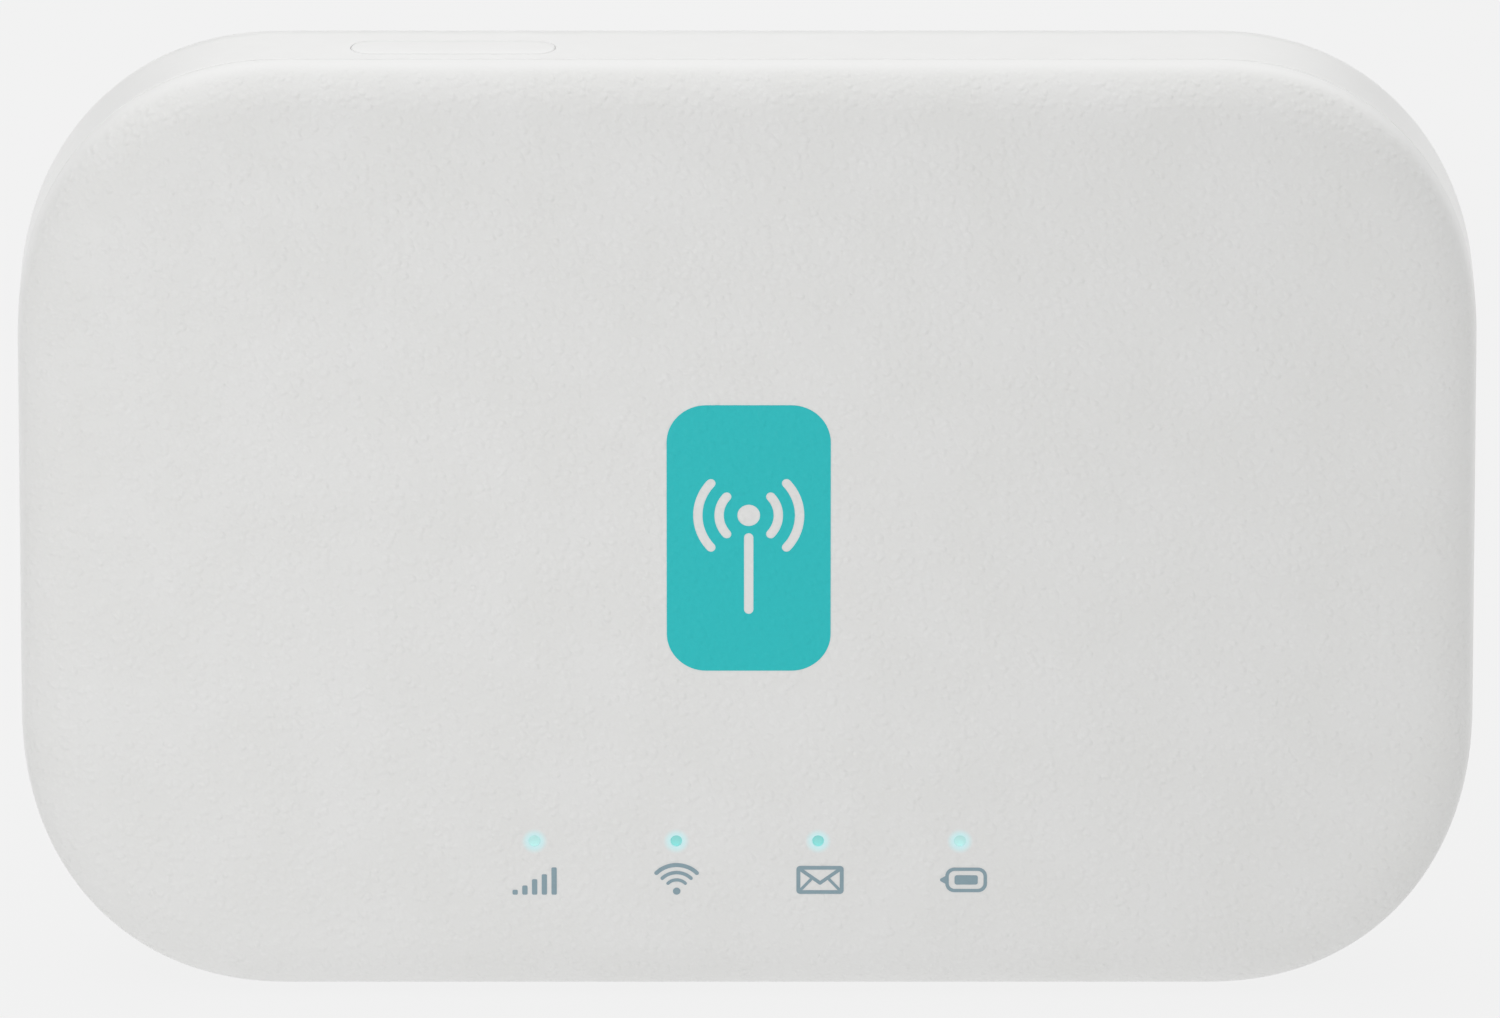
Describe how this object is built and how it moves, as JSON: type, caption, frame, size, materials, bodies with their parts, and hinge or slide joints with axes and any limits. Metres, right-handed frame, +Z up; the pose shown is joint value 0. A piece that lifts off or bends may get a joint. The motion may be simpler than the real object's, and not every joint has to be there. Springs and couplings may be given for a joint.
{
  "type": "mobile hotspot",
  "caption": "Pocket mobile router in a rounded rectangular case that stands on its long side, with indicator lights, a side power key, a SIM slot and a lift-off back over its battery.",
  "frame": {"origin": "on the plane the body stands on, under the middle of the case, at the middle of its depth", "axes": "+X along the long side, to the right as seen from the front; +Y from the front face to the back cover; +Z up, from the long side it stands on"},
  "size_m": [0.0961, 0.014, 0.0645],
  "materials": {
    "case_white": "satin white moulding with a fine pebbled grain",
    "band_white": "smooth satin white moulding",
    "light_guide": "clear moulding, polished",
    "lit_led": "clear lens over a lit cyan diode",
    "board_green": "green solder mask",
    "tin_steel": "tin plate",
    "dark_plastic": "black moulding",
    "pale_plastic": "pale grey moulding",
    "gold_contact": "gold flash on spring metal",
    "copper_flex": "polyimide film over copper",
    "cell_wrap": "pale grey printed film",
    "black_foam": "black foam",
    "sim_plastic": "white card plastic",
    "paper_label": "matt white paper"
  },
  "bodies": {
    "case": {"front_cover": "case_white", "mid_frame": "band_white", "light_guide": "light_guide", "led_shield_foam": "black_foam", "led_signal": "lit_led", "led_wifi": "lit_led", "led_message": "lit_led", "led_battery": "lit_led", "main_board": "board_green", "shield_can_modem": "tin_steel", "shield_can_radio": "tin_steel", "modem_chip": "dark_plastic", "memory_chip": "dark_plastic", "power_chip": "dark_plastic", "wifi_chip": "dark_plastic", "thermal_pad": "black_foam", "usb_shell": "tin_steel", "usb_insulator": "dark_plastic", "sim_socket_base": "dark_plastic", "sim_socket_cage": "tin_steel", "power_switch": "dark_plastic", "wps_switch": "dark_plastic", "reset_switch": "dark_plastic", "battery_terminal_block": "dark_plastic", "battery_contact_1": "gold_contact", "battery_contact_2": "gold_contact", "battery_contact_3": "gold_contact", "lte_main_antenna": "copper_flex", "lte_diversity_antenna": "copper_flex", "wifi_antenna": "copper_flex", "antenna_clip_main": "gold_contact", "antenna_clip_diversity": "gold_contact", "antenna_clip_wifi": "gold_contact", "case_screw_1": "tin_steel", "case_screw_2": "tin_steel", "case_screw_3": "tin_steel", "case_screw_4": "tin_steel", "case_screw_5": "tin_steel", "case_screw_6": "tin_steel", "bay_label": "paper_label"},
    "back_cover": {"back_cover": "case_white", "battery_foam_pad": "black_foam"},
    "battery": {"battery_cell": "cell_wrap", "battery_cap": "dark_plastic"},
    "sim_card": {"sim_card": "sim_plastic"},
    "power_button": {"power_button": "band_white", "power_plunger": "pale_plastic"},
    "wps_button": {"wps_button": "band_white", "wps_plunger": "pale_plastic"},
    "reset_plunger": {"reset_plunger": "pale_plastic"}
  },
  "joints": [
    {"name": "cover_lift", "type": "slide", "parent": "case", "child": "back_cover", "axis": [0, 1, 0], "range_m": [0, 0.045]},
    {"name": "battery_lift", "type": "slide", "parent": "case", "child": "battery", "axis": [0, 1, 0], "range_m": [0, 0.018]},
    {"name": "sim_slide", "type": "slide", "parent": "case", "child": "sim_card", "axis": [0, 0, -1], "range_m": [0, 0.016]},
    {"name": "power_press", "type": "slide", "parent": "case", "child": "power_button", "axis": [0, 0, -1], "range_m": [0, 0.0003], "stiffness_N_per_m": 2000},
    {"name": "wps_press", "type": "slide", "parent": "case", "child": "wps_button", "axis": [-1, 0, 0], "range_m": [0, 0.0003], "stiffness_N_per_m": 2000},
    {"name": "reset_press", "type": "slide", "parent": "case", "child": "reset_plunger", "axis": [0, 0, 1], "range_m": [0, 0.00025], "stiffness_N_per_m": 2000}
  ],
  "couplings": [
    {"joint": "battery_lift", "follows": "cover_lift", "ratio": 0.4}
  ]
}
